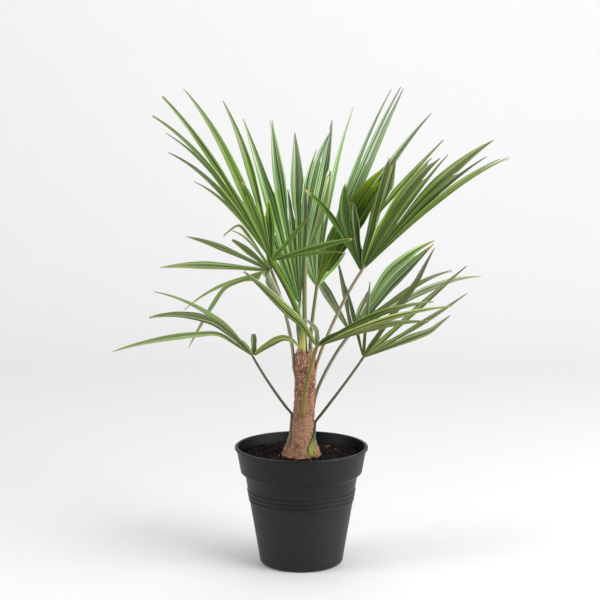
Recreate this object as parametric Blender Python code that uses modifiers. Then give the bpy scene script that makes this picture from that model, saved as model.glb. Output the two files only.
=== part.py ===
# A young windmill palm in a round nursery pot.
# Metres, +Z up. The origin is the centre of the pot's flat underside, and -Y is the front.
import math

import bmesh
import bpy
from mathutils import Vector
from mathutils.geometry import interpolate_bezier

MM = 0.001
GAP = 0.3 * MM  # between two pieces that touch

# Pot, turned about the Z axis
POT_HEIGHT = 171 * MM
POT_RIM_RADIUS = 95 * MM
POT_WALL = 2 * MM
POT_FLOOR = 2.6 * MM
LIP_HEIGHT = 3.4 * MM
LIP_OVERHANG = 2.6 * MM
COLLAR_FOOT = 134 * MM
COLLAR_FOOT_RADIUS = 86.6 * MM
STEP_HEIGHT = 5 * MM
BODY_TOP_RADIUS = 80 * MM
BODY_FOOT_RADIUS = 59.8 * MM
FOOT_ROUNDING = 8 * MM
INNER_FOOT = 12 * MM  # above it the inner wall is straight
EDGE_ROUNDING = 0.9 * MM  # of the lip's top edges
CORNER_SLOPE = 1.2 * MM  # where the collar turns in to the step
RIB_HEIGHTS = (107.4 * MM, 100.9 * MM, 94.4 * MM)
RIB_HALF_WIDTH = 2.1 * MM
RIB_STAND = 1.2 * MM
POT_STEPS = 48
WELD = 0.05 * MM
DRAIN_RADIUS = 5 * MM
DRAIN_RING_RADIUS = 38 * MM
DRAIN_COUNT = 6

# Soil, up to a little under the rim
SOIL_LEVEL = 157 * MM
SOIL_EDGE_DROP = 1.5 * MM
SOIL_CLEAR = 0.4 * MM  # all round, so that the turned facets stay clear of the wall
SOIL_MOUND = 6 * MM  # of level soil round the trunk
SOIL_SHOULDER_RADIUS = 60 * MM
SOIL_SHOULDER_DROP = 0.5 * MM

# Trunk, from its flat cut on the soil to the crown
TRUNK_FOOT = SOIL_LEVEL + GAP
TRUNK_TOP = 306 * MM
TRUNK_RADIUS = 13.3 * MM
ROOT_FLARE = 16.5 * MM
FLARE_START = 150 * MM  # a little under the soil
FLARE_HEIGHT = 25 * MM
TRUNK_LEAN = 5.4 * MM
LEAN_START = 165 * MM
LEAN_HEIGHT = 95 * MM
TRUNK_RINGS = 14
RING_CROWDING = 1.6  # rings stand closer towards the flare
FLARE_POWER = 2.2

# Fronds. A blade is a fan of V-folded leaflets that share their edges out to the web
ROW_DISTANCES = [d * MM for d in (4, 13, 26, 44, 66, 92, 122, 154, 190)]
FREE_ROWS = (0.2, 0.45, 0.7, 0.88, 1.0)
PATH_STEPS = 24
FOLD_ANGLE = math.radians(24)
TIP_HALF_WIDTH = 0.8 * MM
WIDEST_AT = 0.55
KINK_SHARE = 0.16  # of its length, over which a kinked leaflet turns
ROOT_HALF_WIDTH = 0.9 * MM  # a leaflet's edges part from this width at the hub
SPREAD = 0.2  # and by this share of the distance from it
ROOM_SHARE = 0.47  # of the way to the next rib, at most, for a free half
WEB_LIMIT = 0.9  # of the shorter of two leaflets that share a web
WIDENING = 0.7  # powers of a leaflet's outline below and above its widest place
TAPERING = 1.4
THICKNESS_SHARE = 0.01  # of a fan's longest leaflet
STALK_POINTS = 10
STALK_TAPER = 1.3  # power by which a stalk thins from its foot
TOP_CLEAR = 0.45 * MM  # under a stalk that leans on the trunk's top
SIDE_CLEAR = 0.1 * MM  # beside the trunk, where the facets leave the rest


def leaflet(angle, length, bend=0, **more):
    """A leaflet's angle in the fan from straight up, its length in mm and its bend by the tip.

    More can be its width, where it is widest, its tip (the half width there), its web (how far
    it is joined to the next), its lift, or its kink (where, turn).
    """
    return dict(angle=angle, length=length, bend=bend, **more)


# Each frond by its place: the hub in mm, the way the fan faces (azimuth from the front and
# elevation), how far leaflets lift out of the fan at the root and the tip, the web's radius
# and the usual width. The stalk has a foot (x, y on the trunk's top, or degrees round the
# trunk and a height), two handles in mm that it bends towards, its radii and its seat, which
# is how far past the hub its tip ends, up against the blade.
FRONDS = {
    "spear": dict(
        hub=(-2, -2, 375.1), facing=(-6, 2), lift=(4, 2), web=155, width=12, widest=0.7, seat=2.7,
        top=(-5.5, 1), handles=((-3, -0.5, 330), (-8.5, -3, 352)), radii=(3.1, 2.7),
        leaflets=(
            leaflet(-30, 84, -1, width=11, web=63), leaflet(-22, 138, width=13, web=103),
            leaflet(-15.1, 274, -5, width=20, widest=0.45, web=165),
            leaflet(-9.3, 264, 2, width=18, web=124), leaflet(-5, 165, -2, width=8, web=124),
            leaflet(-0.3, 244, -4, width=21, web=142), leaflet(3.9, 173, -5, width=11),
        ),
    ),
    "centre": dict(
        hub=(4.4, 12, 434.3), facing=(-2, 4), lift=(4, 0), web=125, width=8, widest=0.6, seat=3.1,
        top=(-0.4, 6.5), handles=((4.4, 8, 352), (4.4, 10, 394)), radii=(3.4, 3.2),
        leaflets=(
            leaflet(-2.8, 162, 27, width=10, web=142), leaflet(1.6, 190, 29, width=11, web=142),
            leaflet(12.5, 204, -5, width=18, web=130), leaflet(18.9, 134, -9, width=13),
        ),
    ),
    "upper_left": dict(
        hub=(-41.6, -34, 442.6), facing=(-24, 0), lift=(14, 6), web=125, width=8, seat=-0.2,
        top=(-3.6, -8), handles=((2, -10, 358), (-7.6, -24, 382)), radii=(4.2, 3.8),
        leaflets=(
            leaflet(-31.5, 157, -38, width=6, web=95), leaflet(-30.1, 213, -40),
            leaflet(-27.2, 234, -35, width=6), leaflet(-26.9, 264, -35, tip=1.4),
            leaflet(-25.1, 274, -21, width=12, tip=1.8, web=95),
            leaflet(-15.5, 270, -28, width=16, widest=0.42, tip=0.5, web=102),
            leaflet(-10.1, 123, -7, width=21, tip=2.2, web=84, lift=(14, 24)),
            leaflet(-5.8, 235, -23, width=13, web=30),
            leaflet(5.5, 90, -9, width=18, web=16, lift=(14, 10)),
            leaflet(45.4, 101, -4, web=16, lift=(14, 10)),
            leaflet(69.8, 143, 8, width=11, tip=1.6, web=50, lift=(14, 10)),
            leaflet(74.4, 125, 15, width=6, lift=(14, 10)),
        ),
    ),
    "middle_left": dict(
        hub=(-42.3, 20, 420.2), facing=(-38, 20), lift=(14, 0), web=16, width=10, seat=2.3,
        around=-92, height=284, handles=((-11, 5, 316), (-20, 10, 362)), radii=(2.8, 2.1),
        leaflets=(
            leaflet(-232.5, 83, 1, width=14, tip=2.2, lift=(62, -10)),
            leaflet(-116.8, 176, -3, width=8, web=46, kink=(0.42, -41)),
            leaflet(-111.2, 150, -24, width=6, kink=(0.3, -2)), leaflet(-92.7, 189, -9, width=13),
            leaflet(-74.2, 159, -12, web=28), leaflet(-59, 84, -15, width=11, tip=1.8),
            leaflet(-43.3, 92, -40, width=5, lift=(14, 6)),
            leaflet(-43.2, 118, -21, width=6, tip=1.2, kink=(0.75, -72)), leaflet(-20, 98),
            leaflet(7.8, 96),
        ),
    ),
    "lower_left": dict(
        hub=(-67.7, -42, 308.9), facing=(20, 0), lift=(8, -8), web=14, width=10, seat=2.5,
        around=-88, height=218, handles=((-22, -8, 229), (-49, -30, 271)), radii=(2.2, 1.8),
        leaflets=(
            leaflet(-53.2, 216, -21, web=36, kink=(0.3, -34)),
            leaflet(-43.1, 174, -45, width=14, widest=0.45, tip=1.4, web=92, kink=(0.45, -16)),
            leaflet(-40.5, 178, -29, width=8, widest=0.3, kink=(0.4, -8)),
            leaflet(2.9, 32, -7, widest=0.8, tip=3.2),
            leaflet(49.6, 84, 85, width=12, widest=0.4, kink=(0.6, 20)),
        ),
    ),
    "back": dict(
        hub=(21.9, 30, 395.6), facing=(4, 14), lift=(0, 0), web=95, width=12, seat=2.4,
        top=(7.2, 2), handles=((12.5, 6, 338), (18.6, 22, 371)), radii=(2.8, 2.4),
        leaflets=(
            leaflet(-27.5, 58, 22, width=13, web=43), leaflet(-13.8, 127, 11, width=11),
            leaflet(-6.3, 129, 11, width=10), leaflet(5.5, 169, 5, width=9),
            leaflet(8.2, 265, 13, width=9, web=26), leaflet(13.4, 133, 30, width=13, web=26, lift=(6, 18)),
            leaflet(20.4, 197, 30, width=21, widest=0.62, web=165, lift=(6, 10)),
            leaflet(31.5, 189, 3, width=27, widest=0.6, web=26, lift=(6, 10)),
            leaflet(17.6, 306, 12, width=8, widest=0.45, web=190),
            leaflet(20.4, 314, 10, width=10, web=190), leaflet(23.5, 313, 3, web=70),
            leaflet(29.6, 302, 14, width=14, web=50), leaflet(40, 65, 2, width=11),
        ),
    ),
    "front": dict(
        hub=(21.2, -76, 329.1), facing=(-20, 6), lift=(20, -25), web=14, width=12, seat=1.8,
        around=-3, height=221, handles=((1.5, -22, 254), (14.7, -60, 305)), radii=(2.8, 2.5),
        leaflets=(
            leaflet(-29.1, 159, -19, width=16, widest=0.4, kink=(0.22, -18)),
            leaflet(10.3, 51, -53, width=8, kink=(0.5, -29), lift=(20, 20)),
            leaflet(57.4, 184, 27, width=10, web=66), leaflet(64.2, 206, 19, width=9, web=92),
            leaflet(66, 168, 25, width=11),
        ),
    ),
    "upper_right": dict(
        hub=(84.1, 10, 420.3), facing=(14, 0), lift=(2, 0), web=95, width=7, seat=2.5,
        around=82, height=288, handles=((27, -2, 312), (57, 5, 381)), radii=(2.5, 2.3),
        leaflets=(
            leaflet(-26.3, 152, -28, width=10, tip=1.2, web=50, lift=(2, 12)),
            leaflet(-21.5, 131, 32, width=22, widest=0.62, web=50),
            leaflet(-10, 99, 8, width=15, widest=0.7, tip=1.8, web=34),
            leaflet(11.9, 166, 6, width=17, web=190), leaflet(19, 172, -7, width=20),
            leaflet(12.4, 226, 5, width=10, web=68, kink=(0.36, 29)),
            leaflet(22.3, 191, 31, width=8, web=190), leaflet(27, 197, 26, width=17, web=155),
            leaflet(34.2, 206, 10, web=84), leaflet(38.9, 267, 23, width=20, widest=0.6, web=190),
            leaflet(42.9, 243, 18, width=8, web=155), leaflet(44.9, 258, 23, width=9, web=222),
            leaflet(46.6, 269, 22, width=6),
        ),
    ),
    "middle_right": dict(
        hub=(71.1, 42, 325.4), facing=(28, 8), lift=(4, -8), web=30, width=12, seat=2.2,
        around=100, height=247, handles=((26, 6, 264), (53, 32, 310)), radii=(2.6, 2.4),
        leaflets=(
            leaflet(-27.1, 121, 7, width=16, web=14, lift=(-6, -16)),
            leaflet(-7.4, 108, 3, width=9, web=14), leaflet(27.7, 68, 6, width=14),
            leaflet(35.1, 204, 30, width=17, web=155, kink=(0.5, 12)),
            leaflet(45.3, 194, 9, width=17, web=50, kink=(0.5, 7)), leaflet(57.3, 199, 28, width=9, web=92),
            leaflet(63.8, 243, 31, width=11),
        ),
    ),
    "lower_right": dict(
        hub=(86.5, -22, 303), facing=(-20, 0), lift=(0, -8), web=14, width=10, seat=2.8,
        around=90, height=206, handles=((29.5, -4, 220), (67, -16, 271)), radii=(2.2, 1.8),
        leaflets=(
            leaflet(-12.7, 104, -9, width=8), leaflet(5, 109, -3, width=8),
            leaflet(33.1, 189, 8, width=11, web=40, kink=(0.7, -13)), leaflet(46.5, 200, 1, web=45),
            leaflet(57.8, 177, -5, width=8, web=55), leaflet(63.8, 142, 11, width=12, kink=(0.75, -23)),
        ),
    ),
}

COLOURS = {
    "pot": ((0.030, 0.031, 0.033), 0.45),
    "soil": ((0.035, 0.022, 0.015), 0.95),
    "trunk": ((0.26, 0.13, 0.075), 0.85),
    "petiole": ((0.16, 0.22, 0.07), 0.5),
    "frond": ((0.09, 0.22, 0.05), 0.45),
}


def clear_scene():
    for thing in list(bpy.data.objects):
        bpy.data.objects.remove(thing)


def new_collection(name):
    made = bpy.data.collections.new(name)
    bpy.context.scene.collection.children.link(made)
    return made


def material(kind):
    if kind in bpy.data.materials:
        return bpy.data.materials[kind]
    made = bpy.data.materials.new(kind)
    made.use_nodes = True
    shader = made.node_tree.nodes["Principled BSDF"]
    colour, roughness = COLOURS[kind]
    shader.inputs["Base Color"].default_value = (*colour, 1)
    shader.inputs["Roughness"].default_value = roughness
    made.diffuse_color = (*colour, 1)
    return made


def add_object(name, data, kind, collection):
    made = bpy.data.objects.new(name, data)
    made.data.materials.append(material(kind))
    collection.objects.link(made)
    return made


def smoothstep(value):
    value = min(max(value, 0), 1)
    return value * value * (3 - 2 * value)


def turned(name, profile, kind, collection):
    """A solid of revolution: the profile's (radius, height) points run down its outer side."""
    mesh = bpy.data.meshes.new(name)
    points = [(radius, 0, height) for radius, height in profile]
    mesh.from_pydata(points, [(i, i + 1) for i in range(len(points) - 1)], [])
    made = add_object(name, mesh, kind, collection)
    screw = made.modifiers.new("Turn", "SCREW")
    screw.steps = screw.render_steps = POT_STEPS
    screw.use_merge_vertices = True
    screw.merge_threshold = WELD
    screw.use_smooth_shade = True
    return made


def pot_outer():
    """The pot's outer side from under the lip down to the start of the rounded foot."""
    points = [
        (POT_RIM_RADIUS, POT_HEIGHT - LIP_HEIGHT),
        (POT_RIM_RADIUS - LIP_OVERHANG, POT_HEIGHT - LIP_HEIGHT - EDGE_ROUNDING),
        (COLLAR_FOOT_RADIUS, COLLAR_FOOT + CORNER_SLOPE),
        (COLLAR_FOOT_RADIUS - CORNER_SLOPE, COLLAR_FOOT),
        (BODY_TOP_RADIUS, COLLAR_FOOT - STEP_HEIGHT),
    ]
    for rib in RIB_HEIGHTS:
        for side, stand in ((1, 0), (0.5, RIB_STAND), (-0.5, RIB_STAND), (-1, 0)):
            height = rib + side * RIB_HALF_WIDTH
            points.append((body_radius(height) + stand, height))
    points.append((body_radius(FOOT_ROUNDING), FOOT_ROUNDING))
    return points


def body_radius(height):
    share = (height - FOOT_ROUNDING) / (COLLAR_FOOT - STEP_HEIGHT - FOOT_ROUNDING)
    return BODY_FOOT_RADIUS + share * (BODY_TOP_RADIUS - BODY_FOOT_RADIUS)


def pot_inner(clear=0.0):
    """The pot's inner side from the floor up, or the same line set in by a clearance."""
    inset = POT_WALL + clear
    floor = POT_FLOOR + clear
    return [
        (BODY_FOOT_RADIUS - FOOT_ROUNDING, floor),
        (BODY_FOOT_RADIUS - inset - CORNER_SLOPE, floor + FOOT_ROUNDING / 2),
        (body_radius(INNER_FOOT) - inset, INNER_FOOT),
        (BODY_TOP_RADIUS - inset, COLLAR_FOOT - STEP_HEIGHT + clear),
        (COLLAR_FOOT_RADIUS - inset, COLLAR_FOOT + clear),
    ]


def collar_inner_radius(height):
    share = (height - COLLAR_FOOT) / (POT_HEIGHT - LIP_HEIGHT - COLLAR_FOOT)
    top = POT_RIM_RADIUS - LIP_OVERHANG
    return COLLAR_FOOT_RADIUS + share * (top - COLLAR_FOOT_RADIUS) - POT_WALL


def build_pot(collection, cutters):
    lip = POT_HEIGHT - EDGE_ROUNDING
    mouth = collar_inner_radius(POT_HEIGHT - LIP_HEIGHT)
    profile = [
        (0, POT_FLOOR),
        *pot_inner(),
        (mouth, POT_HEIGHT - LIP_HEIGHT),
        (mouth, lip),
        (mouth + EDGE_ROUNDING, POT_HEIGHT),
        (POT_RIM_RADIUS - EDGE_ROUNDING, POT_HEIGHT),
        (POT_RIM_RADIUS, lip),
        *pot_outer(),
    ]
    centre = BODY_FOOT_RADIUS - FOOT_ROUNDING
    for degrees in (22.5, 45, 67.5, 90):
        turn = math.radians(degrees)
        profile.append((
            centre + FOOT_ROUNDING * math.cos(turn),
            FOOT_ROUNDING * (1 - math.sin(turn)),
        ))
    profile.append((0, 0))
    pot = turned("pot", profile, "pot", collection)
    for index in range(DRAIN_COUNT):
        turn = 2 * math.pi * (index + 0.5) / DRAIN_COUNT
        bpy.ops.mesh.primitive_cylinder_add(
            vertices=12,
            radius=DRAIN_RADIUS,
            depth=4 * POT_FLOOR,
            location=(DRAIN_RING_RADIUS * math.cos(turn), DRAIN_RING_RADIUS * math.sin(turn), 0),
        )
        drill = bpy.context.object
        drill.name = f"drain_cutter_{index + 1}"
        move_to(drill, cutters)
        drill.hide_render = True
        drill.display_type = "WIRE"
        cut = pot.modifiers.new(f"Drain {index + 1}", "BOOLEAN")
        cut.operation = "DIFFERENCE"
        cut.object = drill


def move_to(thing, collection):
    for owner in list(thing.users_collection):
        owner.objects.unlink(thing)
    collection.objects.link(thing)


def build_soil(collection):
    """The soil fills the pot to just under the rim, a little higher round the trunk."""
    edge = SOIL_LEVEL - SOIL_EDGE_DROP
    profile = [
        (0, SOIL_LEVEL),
        (trunk_radius(TRUNK_FOOT) + SOIL_MOUND, SOIL_LEVEL),
        (SOIL_SHOULDER_RADIUS, SOIL_LEVEL - SOIL_SHOULDER_DROP),
        (collar_inner_radius(edge) - SOIL_CLEAR, edge),
        *reversed(pot_inner(SOIL_CLEAR)),
        (0, POT_FLOOR + SOIL_CLEAR),
    ]
    turned("soil", profile, "soil", collection)


def trunk_radius(height):
    rise = max(height - FLARE_START, 0) / FLARE_HEIGHT
    return TRUNK_RADIUS + ROOT_FLARE / (1 + rise**FLARE_POWER)


def trunk_centre(height):
    return TRUNK_LEAN * smoothstep((height - LEAN_START) / LEAN_HEIGHT)


def tube(name, points, radii, sides, kind, collection):
    """A tapering limb: a curve through the points with a radius at each."""
    curve = bpy.data.curves.new(name, "CURVE")
    curve.dimensions = "3D"
    curve.bevel_depth = 1
    curve.bevel_resolution = sides
    curve.use_fill_caps = True
    spline = curve.splines.new("POLY")
    spline.points.add(len(points) - 1)
    for point, place, radius in zip(spline.points, points, radii):
        point.co = (*place, 1)
        point.radius = radius
    return add_object(name, curve, kind, collection)


def build_trunk(collection):
    points = []
    radii = []
    for ring in range(TRUNK_RINGS + 1):
        share = (ring / TRUNK_RINGS) ** RING_CROWDING
        height = TRUNK_FOOT + share * (TRUNK_TOP - GAP - TRUNK_FOOT)
        points.append(Vector((trunk_centre(height), 0, height)))
        radii.append(trunk_radius(height))
    tube("trunk", points, radii, 4, "trunk", collection)


def fan_frame(frond):
    """Unit vectors across the fan, up it and out of its face."""
    azimuth, elevation = (math.radians(angle) for angle in frond["facing"])
    out = Vector((
        math.sin(azimuth) * math.cos(elevation),
        -math.cos(azimuth) * math.cos(elevation),
        math.sin(elevation),
    ))
    up = Vector((
        -math.sin(azimuth) * math.sin(elevation),
        math.cos(azimuth) * math.sin(elevation),
        math.cos(elevation),
    ))
    return up.cross(out), up, out


def leaflet_path(frond, leaf):
    """Places along a leaflet's rib, and its heading there, from the hub to the tip."""
    across, up, out = fan_frame(frond)
    low, high = leaf.get("lift", frond["lift"])
    step = leaf["length"] * MM / PATH_STEPS
    place = Vector(frond["hub"]) * MM
    path = []
    for index in range(PATH_STEPS + 1):
        share = min((index + 0.5) / PATH_STEPS, 1)
        angle = leaf["angle"] + leaf["bend"] * share**2
        lift = low + (high - low) * share
        at, turn = leaf.get("kink", (1, 0))
        angle += turn * smoothstep((share - at) / KINK_SHARE + 0.5)
        angle, lift = math.radians(angle), math.radians(lift)
        flat = math.sin(angle) * across + math.cos(angle) * up
        side = math.cos(angle) * across - math.sin(angle) * up
        along = math.cos(lift) * flat + math.sin(lift) * out
        path.append((place, side, side.cross(along)))
        place = place + step * along
    return path


def on_path(path, share):
    """The place, the side and the face's direction at a share of the path's length."""
    spot = min(max(share, 0), 1) * PATH_STEPS
    index = min(int(spot), PATH_STEPS - 1)
    start, end = path[index], path[index + 1]
    return tuple(a.lerp(b, spot - index) for a, b in zip(start, end))


def half_width(leaf, frond, share):
    """A leaflet is widest a little before its middle and tapers to a thin tip."""
    widest = leaf.get("width", frond["width"]) * MM / 2
    tip = leaf["tip"] * MM if "tip" in leaf else TIP_HALF_WIDTH
    at = leaf.get("widest", frond.get("widest", WIDEST_AT))
    if share < at:
        return widest * (share / at) ** WIDENING
    taper = 1 - ((share - at) / (1 - at)) ** TAPERING
    return tip + (widest - tip) * taper


def split_rows(frond):
    """How many rows each pair of neighbouring leaflets shares."""
    leaves = frond["leaflets"]
    rows = []
    for left, right in zip(leaves, leaves[1:]):
        shortest = min(left["length"], right["length"])
        reach = min(left.get("web", frond["web"]), WEB_LIMIT * shortest) * MM
        rows.append(max(2, sum(distance <= reach for distance in ROW_DISTANCES)))
    return rows


def blade_mesh(frond):
    """The fan's open surface: quads between each leaflet's rib and its two edges."""
    leaves = frond["leaflets"]
    paths = [leaflet_path(frond, leaf) for leaf in leaves]
    shared = split_rows(frond)
    form = bmesh.new()
    corners = {}

    def spot(index, distance):
        return on_path(paths[index], distance / (leaves[index]["length"] * MM))

    def corner(key, place):
        if key not in corners:
            corners[key] = form.verts.new(place)
        return corners[key]

    def gap_corner(index, row):
        """The valley that two neighbours share."""
        left, right = (spot(i, ROW_DISTANCES[row]) for i in (index, index + 1))
        half = (right[0] - left[0]).length / 2
        face = (left[2] + right[2]).normalized()
        return corner(("gap", index, row), (left[0] + right[0]) / 2 + half * math.tan(FOLD_ANGLE) * face)

    def free_corner(index, row, distance, way):
        leaf = leaves[index]
        place, side, face = spot(index, distance)
        half = half_width(leaf, frond, distance / (leaf["length"] * MM))
        half = min(half, ROOT_HALF_WIDTH + SPREAD * distance)
        other = index + way
        if 0 <= other < len(leaves) and distance < leaves[other]["length"] * MM:
            room = (spot(other, distance)[0] - place).length
            half = min(half, max(ROOM_SHARE * room, TIP_HALF_WIDTH))
        edge = way * math.cos(FOLD_ANGLE) * side + math.sin(FOLD_ANGLE) * face
        return corner((index, row, way), place + half * edge)

    for index, leaf in enumerate(leaves):
        left_rows = shared[index - 1] if index else 0
        right_rows = shared[index] if index < len(shared) else 0
        common = max(left_rows, right_rows)
        start, length = ROW_DISTANCES[common - 1], leaf["length"] * MM
        distances = ROW_DISTANCES[:common]
        distances += [start + (length - start) * share for share in FREE_ROWS]
        strips = []
        for row, distance in enumerate(distances):
            if row < left_rows:
                left = gap_corner(index - 1, row)
            else:
                left = free_corner(index, row, distance, -1)
            if row < right_rows:
                right = gap_corner(index, row)
            else:
                right = free_corner(index, row, distance, 1)
            strips.append((left, corner((index, row), spot(index, distance)[0]), right))
        for near, far in zip(strips, strips[1:]):
            form.faces.new((near[0], near[1], far[1], far[0]))
            form.faces.new((near[1], near[2], far[2], far[1]))
    return form


def build_frond(name, frond, collection):
    mesh = bpy.data.meshes.new(f"frond_{name}")
    form = blade_mesh(frond)
    form.to_mesh(mesh)
    form.free()
    made = add_object(f"frond_{name}", mesh, "frond", collection)
    longest = max(leaf["length"] for leaf in frond["leaflets"])
    skin = made.modifiers.new("Blade", "SOLIDIFY")
    skin.thickness = longest * MM * THICKNESS_SHARE
    skin.offset = 0


def stalk_foot(frond, radius):
    """A stalk stands on the trunk's top face or lies along the trunk's side, clear of it."""
    if "top" in frond:
        x, y = frond["top"]
        return Vector((trunk_centre(TRUNK_TOP) + x * MM, y * MM, TRUNK_TOP + TOP_CLEAR))
    around, height = math.radians(frond["around"]), frond["height"] * MM
    out = trunk_radius(height) + SIDE_CLEAR + radius
    return Vector((trunk_centre(height) + out * math.sin(around), -out * math.cos(around), height))


def build_stalk(name, frond, collection):
    """A petiole from the trunk to the hub, thick at its foot and thin under the blade."""
    root, tip = (radius * MM for radius in frond["radii"])
    hub = Vector(frond["hub"]) * MM
    near, far = (Vector(handle) * MM for handle in frond["handles"])
    end = hub + frond["seat"] * MM * (hub - far).normalized()
    points = interpolate_bezier(stalk_foot(frond, root), near, far, end, STALK_POINTS)
    radii = []
    for index in range(STALK_POINTS):
        share = index / (STALK_POINTS - 1)
        radii.append(tip + (root - tip) * (1 - share) ** STALK_TAPER)
    tube(f"petiole_{name}", points, radii, 2, "petiole", collection)


def main():
    clear_scene()
    palm = new_collection("potted_windmill_palm")
    cutters = new_collection("cutters")
    build_pot(palm, cutters)
    build_soil(palm)
    build_trunk(palm)
    for name, frond in FRONDS.items():
        build_stalk(name, frond, palm)
        build_frond(name, frond, palm)


main()
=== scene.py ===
# The looks of the potted windmill palm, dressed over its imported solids.
# Metres, +Z up. The plant stands at the origin and its front faces -Y.
import math
import random

import bmesh
import bpy
import numpy as np
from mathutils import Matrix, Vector, noise
from mathutils.geometry import interpolate_bezier


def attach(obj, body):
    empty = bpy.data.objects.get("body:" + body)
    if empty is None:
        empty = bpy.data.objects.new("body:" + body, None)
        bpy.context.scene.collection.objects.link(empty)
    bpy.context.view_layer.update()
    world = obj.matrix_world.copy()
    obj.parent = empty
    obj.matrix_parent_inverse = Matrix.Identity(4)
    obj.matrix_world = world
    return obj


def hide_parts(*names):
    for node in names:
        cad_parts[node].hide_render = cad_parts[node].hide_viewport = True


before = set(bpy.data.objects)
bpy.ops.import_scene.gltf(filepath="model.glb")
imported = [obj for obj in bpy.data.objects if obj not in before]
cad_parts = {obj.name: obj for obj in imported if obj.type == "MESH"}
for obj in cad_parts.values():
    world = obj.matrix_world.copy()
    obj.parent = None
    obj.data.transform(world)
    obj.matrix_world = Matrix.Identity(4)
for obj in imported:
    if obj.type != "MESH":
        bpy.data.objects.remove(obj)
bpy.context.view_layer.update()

bpy.ops.object.select_all(action="DESELECT")
mm = 0.001


# Shader helpers

class Wire:
    # a socket whose sums add Math nodes
    def __init__(self, paint, socket):
        self.paint = paint
        self.socket = socket

    def __add__(self, other):
        return self.paint.sum("ADD", self, other)

    def __sub__(self, other):
        return self.paint.sum("SUBTRACT", self, other)

    def __rsub__(self, other):
        return self.paint.sum("SUBTRACT", other, self)

    def __mul__(self, other):
        return self.paint.sum("MULTIPLY", self, other)

    def __pow__(self, other):
        return self.paint.sum("POWER", self, other)

    __radd__ = __add__
    __rmul__ = __mul__


class Paint:
    # a material on one Principled shader
    def __init__(self, name, **fixed):
        self.made = bpy.data.materials.new(name)
        self.made.use_nodes = True
        self.tree = self.made.node_tree
        self.shader = self.tree.nodes["Principled BSDF"]
        for socket, value in fixed.items():
            self.shader.inputs[socket.replace("_", " ")].default_value = value

    def join(self, socket, value):
        if isinstance(value, Wire):
            self.tree.links.new(value.socket, socket)
        elif hasattr(socket.default_value, "__len__") and len(socket.default_value) == 4 and len(value) == 3:
            socket.default_value = (*value, 1)
        else:
            socket.default_value = value

    def node(self, kind, settings, sockets, out=0):
        made = self.tree.nodes.new("ShaderNode" + kind)
        for name, value in settings.items():
            if name == "stops":
                ramp = made.color_ramp
                while len(ramp.elements) < len(value):
                    ramp.elements.new(0.5)
                for element, (place, colour) in zip(ramp.elements, value):
                    element.position = place
                    element.color = (*colour, 1)
            else:
                setattr(made, name, value)
        for name, value in sockets.items():
            self.join(made.inputs[name], value)
        return Wire(self, made.outputs[out])

    def sum(self, operation, first, second, clamp=False):
        return self.node("Math", {"operation": operation, "use_clamp": clamp}, {0: first, 1: second})

    def grains(self, where, scale, detail=2, roughness=0.5):
        return self.node("TexNoise", {}, {"Vector": where, "Scale": scale, "Detail": detail, "Roughness": roughness})

    def stripes(self, where, scale, seed):
        settings = {"noise_dimensions": "4D"}
        sockets = {"Vector": self.stretched(where, scale), "W": seed, "Scale": 1, "Detail": 3, "Roughness": 0.6}
        return self.node("TexNoise", settings, sockets)

    def fade(self, value, low, high, start=0, end=1):
        settings = {"interpolation_type": "SMOOTHSTEP"}
        return self.node("MapRange", settings, {0: value, 1: low, 2: high, 3: start, 4: end})

    def blend(self, factor, first, second, kind="MIX"):
        settings = {"data_type": "RGBA", "blend_type": kind}
        return self.node("Mix", settings, {0: factor, 6: first, 7: second}, out=2)

    def stretched(self, where, scale):
        return self.node("Mapping", {}, {"Vector": where, "Scale": scale})

    def place(self, kind):
        return self.node("TexCoord", {}, {}, out={"object": 3, "uv": 2}[kind])

    def bump(self, height, strength, distance):
        return self.node("Bump", {}, {"Height": height, "Strength": strength, "Distance": distance})

    def dress(self, **wires):
        for socket, value in wires.items():
            self.join(self.shader.inputs[socket.replace("_", " ")], value)
        return self.made


def tone(*levels):
    # a swatch's 0 to 255 levels as the light values that Blender takes
    return tuple(((level / 255 + 0.055) / 1.055) ** 2.4 for level in levels)


def finish(piece, slotName, *nodes):
    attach(piece, "root")
    if nodes:
        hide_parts(*nodes)
    piece.select_set(False)


def makeMesh(name, points, faces, paints, smooth=True):
    mesh = bpy.data.meshes.new(name)
    mesh.from_pydata(points, [], faces)
    for paint in paints:
        mesh.materials.append(paint)
    if smooth:
        mesh.shade_smooth()
    piece = bpy.data.objects.new(name, mesh)
    bpy.context.scene.collection.objects.link(piece)
    return piece


def applyAll(piece):
    bpy.context.view_layer.objects.active = piece
    for modifier in list(piece.modifiers):
        bpy.ops.object.modifier_apply(modifier=modifier.name)


def extrudeRings(name, rings, paints):
    # a capped limb: a circle is extruded from ring to ring of points
    bpy.ops.mesh.primitive_circle_add(vertices=len(rings[0]), radius=1, fill_type="NGON")
    piece = bpy.context.object
    piece.name = name
    bpy.ops.object.mode_set(mode="EDIT")
    form = bmesh.from_edit_mesh(piece.data)
    form.verts.ensure_lookup_table()
    order = list(form.verts)
    for vertex, point in zip(order, rings[0]):
        vertex.co = point
    for ring in rings[1:]:
        where = {vertex.co.to_tuple(7): index for index, vertex in enumerate(order)}
        bpy.ops.mesh.extrude_region_move()
        form = bmesh.from_edit_mesh(piece.data)
        fresh = [vertex for vertex in form.verts if vertex.select]
        order = sorted(fresh, key=lambda vertex: where[vertex.co.to_tuple(7)])
        for vertex, point in zip(order, ring):
            vertex.co = point
    bmesh.update_edit_mesh(piece.data)
    bpy.ops.mesh.select_all(action="SELECT")
    bpy.ops.mesh.normals_make_consistent(inside=False)
    bpy.ops.object.mode_set(mode="OBJECT")
    for paint in paints:
        piece.data.materials.append(paint)
    piece.data.shade_smooth()
    piece.select_set(False)
    return piece


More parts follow.
